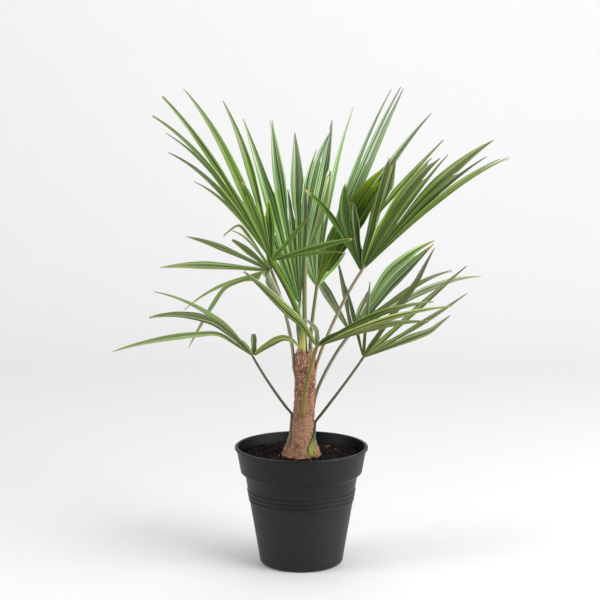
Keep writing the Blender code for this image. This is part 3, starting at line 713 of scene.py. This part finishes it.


# shade scales a leaflet's colour: partly its own lightness, partly painted shade on leaves that lie in shadow and
# painted light on leaves that are brightly lit
fronds = {
    "spear": dict(
        hub=(-2, -2, 375.1), facing=(-6, 2), lift=(4, 2), web=155, width=12, widest=0.7,
        top=(-5.5, 1), handles=((-3, -0.5, 330), (-8.5, -3, 352)), radii=(3.1, 2.7),
        tone="sea", stalkTone="lime",
        leaflets=(
            leaflet(-30, 84, -1, width=11, web=63, shade=0.9),
            leaflet(-22, 138, width=13, web=103, shade=0.6),
            leaflet(-15.1, 274, -5, width=20, widest=0.45, web=165, shade=1.4),
            leaflet(-9.3, 264, 2, width=18, web=124, shade=1.2),
            leaflet(-5, 165, -2, width=8, web=124, shade=0.7),
            leaflet(-0.3, 244, -4, width=21, web=142, shade=0.9),
            leaflet(3.9, 173, -5, width=11, shade=0.5),
        ),
    ),
    "centre": dict(
        hub=(4.4, 12, 434.3), facing=(-2, 4), lift=(4, 0), web=125, width=8, widest=0.6,
        top=(-0.4, 6.5), handles=((4.4, 8, 352), (4.4, 10, 394)), radii=(3.4, 3.2),
        tone="reed", stalkTone="olive",
        leaflets=(
            leaflet(-2.8, 162, 27, width=10, web=142, shade=1.4), leaflet(1.6, 190, 29, width=11, web=142),
            leaflet(12.5, 204, -5, width=18, web=130, shade=0.9),
            leaflet(18.9, 134, -9, width=13, tone="dusk", shade=1.2),
        ),
    ),
    "upper_left": dict(
        hub=(-41.6, -34, 442.6), facing=(-24, 0), lift=(14, 6), web=125, width=8,
        top=(-3.6, -8), handles=((2, -10, 358), (-7.6, -24, 382)), radii=(4.2, 3.8),
        tone="meadow", stalkTone="green",
        leaflets=(
            leaflet(-31.5, 157, -38, width=6, web=95, shade=0.8), leaflet(-30.1, 213, -40, shade=0.6),
            leaflet(-27.2, 234, -35, width=6, shade=1.1), leaflet(-26.9, 264, -35, tip=1.4, shade=0.7),
            leaflet(-25.1, 274, -21, width=12, tip=1.8, web=95, shade=1.2),
            leaflet(-15.5, 270, -28, width=16, widest=0.42, tip=0.5, web=102),
            leaflet(-10.1, 123, -7, width=21, tip=2.2, web=84, lift=(14, 24), tone="bright", shade=1.1),
            leaflet(-5.8, 235, -23, width=13, web=30),
            leaflet(5.5, 90, -9, width=18, web=16, lift=(14, 10), tone="bright", shade=1.7),
            leaflet(45.4, 101, -4, web=16, lift=(14, 10), tone="grass", shade=0.8),
            leaflet(69.8, 143, 8, width=11, tip=1.6, web=50, lift=(14, 10), tone="grass", shade=0.9),
            leaflet(74.4, 125, 15, width=6, lift=(14, 10), tone="grass", shade=1.3),
        ),
    ),
    "middle_left": dict(
        hub=(-42.3, 20, 420.2), facing=(-38, 20), lift=(14, 0), web=16, width=10,
        around=-92, height=284, handles=((-11, 5, 316), (-20, 10, 362)), radii=(2.8, 2.1),
        tone="jade", stalkTone="brown", sheath=(-70, 262, 4),
        leaflets=(
            leaflet(-232.5, 83, 1, width=14, tip=2.2, lift=(62, -10), tone="mint", shade=1.3),
            leaflet(-116.8, 176, -3, width=8, web=46, kink=(0.42, -41), tone="jade"),
            leaflet(-111.2, 150, -24, width=6, kink=(0.3, -2), shade=1.2),
            leaflet(-92.7, 189, -9, width=13, shade=1.1), leaflet(-74.2, 159, -12, web=28, shade=0.8),
            leaflet(-59, 84, -15, width=11, tip=1.8, shade=0.8),
            leaflet(-43.3, 92, -40, width=5, lift=(14, 6), shade=1.3),
            leaflet(-43.2, 118, -21, width=6, tip=1.2, kink=(0.75, -72), shade=1.3), leaflet(-20, 98),
            leaflet(7.8, 96),
        ),
    ),
    "lower_left": dict(
        hub=(-67.7, -42, 308.9), facing=(20, 0), lift=(8, -8), web=14, width=10,
        around=-88, height=218, handles=((-22, -8, 229), (-49, -30, 271)), radii=(2.2, 1.8),
        tone="moss", stalkTone="grey", sheath=(-62, 172, 5),
        leaflets=(
            leaflet(-53.2, 216, -21, web=36, kink=(0.3, -34), shade=1.2),
            leaflet(-43.1, 174, -45, width=14, widest=0.45, tip=1.4, web=92, kink=(0.45, -16), shade=0.8),
            leaflet(-40.5, 178, -29, width=8, widest=0.3, kink=(0.4, -8), shade=1.2),
            leaflet(2.9, 32, -7, widest=0.8, tip=3.2, tone="dusk", shade=0.5),
            leaflet(49.6, 84, 85, width=12, widest=0.4, kink=(0.6, 20), tone="khaki", shade=1.1),
        ),
    ),
    "back": dict(
        hub=(21.9, 30, 395.6), facing=(4, 14), lift=(0, 0), web=95, width=12,
        top=(7.2, 2), handles=((12.5, 6, 338), (18.6, 22, 371)), radii=(2.8, 2.4),
        tone="deep", stalkTone="olive",
        leaflets=(
            leaflet(-27.5, 58, 22, width=13, web=43, shade=0.8),
            leaflet(-13.8, 127, 11, width=11, shade=0.6), leaflet(-6.3, 129, 11, width=10, shade=0.8),
            leaflet(5.5, 169, 5, width=9, tone="reed", shade=1.7),
            leaflet(8.2, 265, 13, width=9, web=26, shade=1.6),
            leaflet(13.4, 133, 30, width=13, web=26, lift=(6, 18), tone="grass", shade=1.1),
            leaflet(20.4, 197, 30, width=21, widest=0.62, web=165, lift=(6, 10), tone="vivid", shade=1.4),
            leaflet(31.5, 189, 3, width=27, widest=0.6, web=26, lift=(6, 10), tone="vivid", shade=0.8),
            leaflet(17.6, 306, 12, width=8, widest=0.45, web=190, shade=1.2),
            leaflet(20.4, 314, 10, width=10, web=190), leaflet(23.5, 313, 3, web=70, shade=0.8),
            leaflet(29.6, 302, 14, width=14, web=50, shade=0.8), leaflet(40, 65, 2, width=11, shade=1.7),
        ),
    ),
    "front": dict(
        hub=(21.2, -76, 329.1), facing=(-20, 6), lift=(20, -25), web=14, width=12,
        around=-3, height=221, handles=((1.5, -22, 254), (14.7, -60, 305)), radii=(2.8, 2.5),
        tone="khaki", stalkTone="leek", sheath=(-10, 214, 3),
        leaflets=(
            leaflet(-29.1, 159, -19, width=16, widest=0.4, kink=(0.22, -18), tone="dusk", shade=1.4),
            leaflet(10.3, 51, -53, width=8, kink=(0.5, -29), lift=(20, 20), tone="mint", shade=0.8),
            leaflet(57.4, 184, 27, width=10, web=66, tone="olive", shade=1.7),
            leaflet(64.2, 206, 19, width=9, web=92, shade=1.4), leaflet(66, 168, 25, width=11, shade=0.7),
        ),
    ),
    "upper_right": dict(
        hub=(84.1, 10, 420.3), facing=(14, 0), lift=(2, 0), web=95, width=7,
        around=82, height=288, handles=((27, -2, 312), (57, 5, 381)), radii=(2.5, 2.3),
        tone="olive", stalkTone="brown", sheath=(70, 262, 4),
        leaflets=(
            leaflet(-26.3, 152, -28, width=10, tip=1.2, web=50, lift=(2, 12), tone="bright"),
            leaflet(-21.5, 131, 32, width=22, widest=0.62, web=50, tone="bright", shade=0.6),
            leaflet(-10, 99, 8, width=15, widest=0.7, tip=1.8, web=34, shade=0.7),
            leaflet(11.9, 166, 6, width=17, web=190, shade=0.6), leaflet(19, 172, -7, width=20, shade=0.9),
            leaflet(12.4, 226, 5, width=10, web=68, kink=(0.36, 29), shade=1.7),
            leaflet(22.3, 191, 31, width=8, web=190, shade=1.7),
            leaflet(27, 197, 26, width=17, web=155, shade=0.7), leaflet(34.2, 206, 10, web=84, shade=0.8),
            leaflet(38.9, 267, 23, width=20, widest=0.6, web=190, shade=0.9),
            leaflet(42.9, 243, 18, width=8, web=155, shade=0.7),
            leaflet(44.9, 258, 23, width=9, web=222, shade=1.4), leaflet(46.6, 269, 22, width=6, shade=1.6),
        ),
    ),
    "middle_right": dict(
        hub=(71.1, 42, 325.4), facing=(28, 8), lift=(4, -8), web=30, width=12,
        around=100, height=247, handles=((26, 6, 264), (53, 32, 310)), radii=(2.6, 2.4),
        tone="fern", stalkTone="ash", sheath=(84, 226, 4),
        leaflets=(
            leaflet(-27.1, 121, 7, width=16, web=14, lift=(-6, -16)),
            leaflet(-7.4, 108, 3, width=9, web=14, tone="forest", shade=0.5),
            leaflet(27.7, 68, 6, width=14, tone="dusk", shade=0.7),
            leaflet(35.1, 204, 30, width=17, web=155, kink=(0.5, 12), tone="glossy", shade=1.5),
            leaflet(45.3, 194, 9, width=17, web=50, kink=(0.5, 7), tone="glossy", shade=0.7),
            leaflet(57.3, 199, 28, width=9, web=92, tone="dusk", shade=0.6),
            leaflet(63.8, 243, 31, width=11),
        ),
    ),
    "lower_right": dict(
        hub=(86.5, -22, 303), facing=(-20, 0), lift=(0, -8), web=14, width=10,
        around=90, height=206, handles=((29.5, -4, 220), (67, -16, 271)), radii=(2.2, 1.8),
        tone="forest", stalkTone="sheath", sheath=(30, 161, 6),
        leaflets=(
            leaflet(-12.7, 104, -9, width=8, shade=0.8), leaflet(5, 109, -3, width=8),
            leaflet(33.1, 189, 8, width=11, web=40, kink=(0.7, -13), shade=0.8),
            leaflet(46.5, 200, 1, web=45, shade=1.4), leaflet(57.8, 177, -5, width=8, web=55, shade=1.2),
            leaflet(63.8, 142, 11, width=12, kink=(0.75, -23), shade=1.1),
        ),
    ),
}


def fanFrame(frond):
    azimuth, elevation = (math.radians(angle) for angle in frond["facing"])
    out = Vector((
        math.sin(azimuth) * math.cos(elevation),
        -math.cos(azimuth) * math.cos(elevation),
        math.sin(elevation),
    ))
    up = Vector((
        -math.sin(azimuth) * math.sin(elevation),
        math.cos(azimuth) * math.sin(elevation),
        math.cos(elevation),
    ))
    return up.cross(out), up, out


def leafPath(frond, leaf):
    # the rib's places, with the leaflet's side and face at each
    across, up, out = fanFrame(frond)
    low, high = leaf.get("lift", frond["lift"])
    steps = blade["pathSteps"]
    step = leaf["length"] * mm / steps
    place = Vector(frond["hub"]) * mm
    path = []
    at, turn = leaf.get("kink", (1, 0))
    for index in range(steps + 1):
        share = min((index + 0.5) / steps, 1)
        angle = leaf["angle"] + leaf["bend"] * share**2
        bent = min(max((share - at) / blade["kinkShare"] + 0.5, 0), 1)
        angle += turn * bent * bent * (3 - 2 * bent)
        angle, lift = math.radians(angle), math.radians(low + (high - low) * share)
        flat = math.sin(angle) * across + math.cos(angle) * up
        side = math.cos(angle) * across - math.sin(angle) * up
        along = math.cos(lift) * flat + math.sin(lift) * out
        path.append((place, side, side.cross(along)))
        place = place + step * along
    return path


def onPath(path, share):
    spot = min(max(share, 0), 1) * blade["pathSteps"]
    index = min(int(spot), blade["pathSteps"] - 1)
    return tuple(a.lerp(b, spot - index) for a, b in zip(path[index], path[index + 1]))


def halfWidth(leaf, frond, share):
    widest = leaf.get("width", frond["width"]) / 2
    at = leaf.get("widest", frond.get("widest", blade["widest"]))
    tip = leaf.get("tip", blade["tip"])
    if share < at:
        return widest * (share / at) ** 0.7
    taper = 1 - ((share - at) / (1 - at)) ** 1.4
    return tip + (widest - tip) * taper


def makeFrond(name, frond, chance):
    leaves = frond["leaflets"]
    paths = [leafPath(frond, leaf) for leaf in leaves]
    reaches = []
    for left, right in zip(leaves, leaves[1:]):
        shortest = min(left["length"], right["length"])
        reaches.append(min(left.get("web", frond["web"]), blade["webLimit"] * shortest))
    twists = [math.radians(chance.uniform(-14, 14)) for leaf in leaves]
    points = []
    faces = []
    places = []
    picks = []
    chances = []
    shades = []
    known = {}
    paints = []
    columns = blade["columns"]

    def spot(index, distance):
        return onPath(paths[index], distance / leaves[index]["length"])

    def corner(key, place):
        if key not in known:
            known[key] = len(points)
            points.append(place)
        return known[key]

    def edgePlace(index, distance, way):
        # the edge of a leaflet, or the valley that it shares with its neighbour
        leaf = leaves[index]
        place, side, face = spot(index, distance)
        other = index + way
        inside = 0 <= other < len(leaves)
        reach = reaches[min(index, other)] if inside else 0
        if inside and distance <= reach:
            near = spot(other, distance)
            half = (near[0] - place).length / 2
            facing = (face + near[2]).normalized()
            return (place + near[0]) / 2 + half * math.tan(blade["fold"]) * facing
        half = halfWidth(leaf, frond, distance / leaf["length"])
        half = min(half, blade["root"] + blade["spread"] * distance) * mm
        if inside and distance < leaves[other]["length"]:
            room = (spot(other, distance)[0] - place).length
            other_ = halfWidth(leaves[other], frond, distance / leaves[other]["length"]) * mm
            half = min(half, max(0.47 * room, room - other_, blade["tip"] * mm))
            past = (distance - reach) / (blade["notchShare"] * (leaf["length"] - reach))
            if past < 1:
                half += (0.48 * room - half) * (1 - past) ** 2
        beyond = max(distance - max(reach, 20), 0) / leaf["length"]
        twist = twists[index] * min(beyond * 2, 1)
        turned = math.cos(twist) * side + math.sin(twist) * face
        raised = math.cos(twist) * face - math.sin(twist) * side
        return place + half * (way * math.cos(blade["fold"]) * turned + math.sin(blade["fold"]) * raised)

    for index, leaf in enumerate(leaves):
        tint = leaf.get("tone", frond["tone"])
        if tint not in paints:
            paints.append(tint)
        length = leaf["length"]
        rows = int((length - blade["firstRow"]) / blade["rowStep"])
        distances = [blade["firstRow"] + blade["rowStep"] * row for row in range(rows)]
        distances += [distances[-1] + (length - distances[-1]) * 0.6, length]
        parting = 1 - chance.uniform(0.02, 0.06)
        if chance.random() < 0.88 or "tip" in leaf:
            parting = 1.1
        strips = []
        for row, distance in enumerate(distances):
            place, side, face = spot(index, distance)
            share = distance / length
            open_ = max(share - parting, 0) / (1.001 - min(parting, 1))
            strip = {}
            for way in (-1, 1):
                edge = edgePlace(index, distance, way)
                reach = reaches[min(index, index + way)] if 0 <= index + way < len(leaves) else 0
                joined = distance <= reach
                apart = way * side * 1.6 * mm * open_**1.3
                inner = place + (apart if open_ else Vector())
                outer = edge + (apart if open_ else Vector())
                width = (outer - inner).length
                column = []
                for step in range(columns + 1):
                    u = step / columns
                    pleat = (0.055 if step % 2 else -0.03) * width if 0 < step < columns else 0
                    swell = blade["bow"] * math.sin(math.pi * u) * width
                    where = inner.lerp(outer, u) + face * (swell + pleat)
                    if step == 0 and not open_:
                        key = (index, row, "rib")
                    elif step == columns and joined:
                        key = ("valley", min(index, index + way), row)
                    else:
                        key = (index, row, way, step)
                    column.append(corner(key, where))
                strip[way] = column
            strips.append(strip)
        pick = paints.index(tint)
        leafChance = chance.random()
        for row, (near, far) in enumerate(zip(strips, strips[1:])):
            low, high = distances[row] / length, distances[row + 1] / length
            for way in (-1, 1):
                for step in range(columns):
                    quad = (near[way][step], near[way][step + 1], far[way][step + 1], far[way][step])
                    inner, outer = 0.5 + way * step / columns / 2, 0.5 + way * (step + 1) / columns / 2
                    spots = ((inner, low), (outer, low), (outer, high), (inner, high))
                    if way < 0:
                        quad, spots = quad[::-1], spots[::-1]
                    faces.append(quad)
                    places += spots
                    picks.append(pick)
                    chances.append(leafChance)
                    # each leaflet's shade: partly its own lightness, partly painted shade and painted light
                    shades.append(leaf.get("shade", 1))
    piece = makeMesh(f"fan_{name}", points, faces, [leafPaint(tint) for tint in paints])
    piece.data.polygons.foreach_set("material_index", picks)
    for title, values in (("leafChance", chances), ("leafShade", shades)):
        own = piece.data.attributes.new(title, "FLOAT", "FACE")
        own.data.foreach_set("value", values)
    layer = piece.data.uv_layers.new(name="UVMap")
    layer.data.foreach_set("uv", [value for spots in places for value in spots])
    skin = piece.modifiers.new("skin", "SOLIDIFY")
    skin.thickness = blade["thickness"] * mm
    skin.offset = 0
    applyAll(piece)
    finish(piece, "frond", f"frond_{name}")
    return len(piece.data.polygons)


leafTones = {
    # root, body, far part and very tip of a leaflet; the dark roots are partly painted shade near the hub
    "sea": (tone(48, 63, 3), tone(123, 159, 90), tone(222, 231, 197), tone(170, 170, 132)),
    "reed": (tone(92, 109, 38), tone(146, 181, 123), tone(231, 231, 217), tone(150, 146, 132)),
    "meadow": (tone(50, 87, 2), tone(127, 153, 73), tone(208, 216, 184), tone(180, 182, 132)),
    "jade": (tone(118, 138, 49), tone(132, 153, 97), tone(201, 190, 149), tone(218, 208, 162)),
    "moss": (tone(59, 55, 8), tone(108, 122, 80), tone(162, 171, 129), tone(196, 190, 120)),
    "deep": (tone(88, 97, 17), tone(167, 200, 140), tone(176, 161, 181), tone(156, 150, 132)),
    "khaki": (tone(70, 56, 4), tone(138, 149, 83), tone(173, 185, 138), tone(200, 160, 110)),
    "olive": (tone(18, 31, 2), tone(73, 92, 22), tone(165, 174, 125), tone(124, 108, 84)),
    "fern": (tone(99, 108, 38), tone(118, 128, 102), tone(214, 221, 188), tone(180, 160, 110)),
    "forest": (tone(87, 89, 24), tone(107, 119, 76), tone(176, 171, 156), tone(150, 140, 112)),
    "grass": (tone(83, 98, 9), tone(94, 125, 38), tone(119, 148, 69), tone(216, 188, 132)),
    "bright": (tone(42, 59, 2), tone(54, 91, 2), tone(108, 150, 5), tone(206, 190, 120)),
    "vivid": (tone(113, 124, 8), tone(35, 84, 2), tone(200, 231, 13), tone(96, 130, 20)),
    "dusk": (tone(43, 50, 4), tone(129, 142, 82), tone(191, 204, 180), tone(120, 100, 70)),
    "glossy": (tone(31, 50, 2), tone(84, 106, 65), tone(158, 177, 106), tone(170, 146, 90)),
    "mint": (tone(72, 101, 33), tone(177, 180, 148), tone(231, 231, 231), tone(230, 228, 200)),
}
leafPaints = {}


def leafPaint(name):
    if name in leafPaints:
        return leafPaints[name]
    root, body, far, tip = leafTones[name]
    paint = Paint(f"leaf_{name}", Specular_IOR_Level=0.14)
    parts = paint.place("uv")
    across = paint.node("SeparateXYZ", {}, {0: parts}, out=0)
    along = paint.node("SeparateXYZ", {}, {0: parts}, out=1)
    where = paint.place("object")
    own = paint.node("Attribute", {"attribute_name": "leafChance"}, {}, out=2)
    drift = paint.grains(where, 22, 2)
    broad = paint.stripes(parts, (4.5, 0.45, 1), own * 40)
    thin = paint.stripes(parts, (12, 0.8, 1), own * 60)
    patch = paint.stripes(parts, (2.5, 2.2, 1), own * 90)
    rust = paint.stripes(parts, (13, 2.4, 1), own * 25)
    # pleat lines across each leaflet: the bump's relief, and in the colour pale ridges as painted highlight and dark
    # grooves as painted shade
    pleatReliefAndShading = paint.sum("SINE", across * 25 + own * 9, 0)
    edge = paint.sum("ABSOLUTE", across - 0.5, 0)
    luck = paint.sum("FRACT", own * 7, 0)
    # half darkens one side of some leaflets' folds: painted shade, as if the light came from one side
    half = paint.fade(across + paint.sum("FRACT", own * 13, 0) * 0.3, 0.6, 0.7)
    rise = along + drift * 0.3 - 0.15
    colour = paint.blend(paint.fade(rise, 0.1, 0.5), root, body)
    colour = paint.blend(paint.fade(rise, 0.55, 0.95), colour, far)
    pale = tuple(1.3 * a + 0.22 * b for a, b in zip(body, tone(190, 224, 140)))
    dark = tuple(0.22 * value for value in root)
    # saturated yellow-green patches low on the blade: partly the leaf's own colour, partly painted light shining
    # through it
    vivid = tuple(0.6 * a + 0.4 * b for a, b in zip(root, tone(84, 140, 4)))
    low = paint.fade(rise, 0.6, 0.3)
    for pattern, start, end, weight, over in (
        (luck, 0.5, 1, 0.15, pale), (luck, 0.5, 0, 0.2, dark), (half, 0, 1, 0.4, dark),
        (paint.fade(patch, 0.52, 0.6) * low, 0, 1, 0.6, vivid),
        (broad, 0.52, 0.6, 0.8, pale), (broad, 0.48, 0.4, 0.85, dark),
        # pale pleat ridges are painted highlight, dark pleat grooves are painted shade
        (pleatReliefAndShading, 0.1, 1, 0.3, pale), (pleatReliefAndShading, -0.1, -1, 0.4, dark),
        (thin, 0.54, 0.64, 0.6, pale), (thin, 0.46, 0.36, 0.7, dark),
        (rust, 0.66, 0.74, 0.5, tone(140, 104, 50)),
        # pale margins and web ridges are painted highlight on the raised edges; the dark line at the rib is painted
        # shade in the fold
        (edge, 0.42, 0.49, 0.6, pale), (edge, 0.06, 0.0, 0.7, dark),
    ):
        colour = paint.blend(paint.fade(pattern, start, end, 0, weight), colour, over)
    # leafShade multiplies the colour: partly the leaf's own lightness, partly painted shade and painted light
    shade = paint.node("Attribute", {"attribute_name": "leafShade"}, {}, out=2)
    colour = paint.blend(1, colour, paint.node("CombineColor", {}, {0: shade, 1: shade, 2: shade}), "MULTIPLY")
    colour = paint.blend(paint.fade(rise + own * 0.05, 0.95, 1.04, 0, 0.9), colour, tip)
    leafPaints[name] = paint.dress(
        Base_Color=colour,
        Roughness=0.34 + thin * 0.22,
        Normal=paint.bump(pleatReliefAndShading * 0.3 + thin + broad, 0.7, 0.0007),
    )
    return leafPaints[name]


def makeFans():
    chance = random.Random(7)
    for name, frond in fronds.items():
        makeStalk(name, frond)
        print("fan", name, "with", makeFrond(name, frond, chance), "faces")


# Stage

stage = {"width": 7, "front": -3.2, "back": 2.6, "wall": 4.2, "colour": tone(250, 250, 250)}
view = {"place": (-0.002, -2.960, 0.8825), "down": 9.6, "lens": 127.8}
lights = {
    "key": dict(place=(2.3, -1.6, 1.25), size=2.0, power=75),
    "fill": dict(place=(-2.4, -0.9, 1.1), size=1.5, power=32),
    "top": dict(place=(0.3, 0.1, 3.1), size=2.2, power=16),
    "side": dict(place=(2.0, -0.1, 0.45), size=1.0, power=15),
}


def makeStage():
    bpy.ops.mesh.primitive_plane_add(size=1)
    floor = bpy.context.object
    floor.name = "floor"
    corners = {(-1, -1): stage["front"], (1, -1): stage["front"], (-1, 1): stage["back"], (1, 1): stage["back"]}
    for vertex in floor.data.vertices:
        side = (math.copysign(1, vertex.co.x), math.copysign(1, vertex.co.y))
        vertex.co = (side[0] * stage["width"] / 2, corners[side], 0)
    bpy.ops.object.mode_set(mode="EDIT")
    form = bmesh.from_edit_mesh(floor.data)
    for edge in form.edges:
        edge.select = all(vertex.co.y > 0 for vertex in edge.verts)
    bpy.ops.mesh.select_mode(type="EDGE")
    bpy.ops.mesh.extrude_region_move(TRANSFORM_OT_translate={"value": (0, 0, stage["wall"])})
    form = bmesh.from_edit_mesh(floor.data)
    for edge in form.edges:
        edge.select = all(vertex.co.y > 0 and vertex.co.z < 1 for vertex in edge.verts)
    bpy.ops.mesh.bevel(offset=1.2, segments=24)
    bpy.ops.object.mode_set(mode="OBJECT")
    floor.data.shade_smooth()
    paint = Paint("studioFloor", Roughness=0.85, Specular_IOR_Level=0.2)
    paint.dress(Base_Color=stage["colour"])
    floor.data.materials.append(paint.made)
    floor.select_set(False)


def makeLights():
    world = bpy.data.worlds.new("studio")
    bpy.context.scene.world = world
    world.use_nodes = True
    world.node_tree.nodes["Background"].inputs[0].default_value = (1, 1, 1, 1)
    world.node_tree.nodes["Background"].inputs[1].default_value = 0.34
    for name, lamp in lights.items():
        data = bpy.data.lights.new(name, "AREA")
        data.size = lamp["size"]
        data.energy = lamp["power"]
        light = bpy.data.objects.new(name, data)
        light.location = lamp["place"]
        light.rotation_euler = (Vector((0, 0, 0.35)) - light.location).to_track_quat("-Z", "Y").to_euler()
        bpy.context.scene.collection.objects.link(light)


def makeCamera():
    data = bpy.data.cameras.new("camera")
    data.sensor_width = 36
    data.lens = view["lens"]
    camera = bpy.data.objects.new("camera", data)
    camera.location = view["place"]
    camera.rotation_euler = (math.radians(90 - view["down"]), 0, 0)
    bpy.context.scene.collection.objects.link(camera)
    bpy.context.scene.camera = camera
    bpy.context.scene.view_settings.view_transform = "Standard"


print("stage, lights and camera")
makeStage()
makeLights()
makeCamera()
print("pot")
makePot()
print("soil")
makeSoil()
makeCrumbs()
print("trunk")
makeTrunk()
makeTrunkFibres()
print("fans")
makeFans()
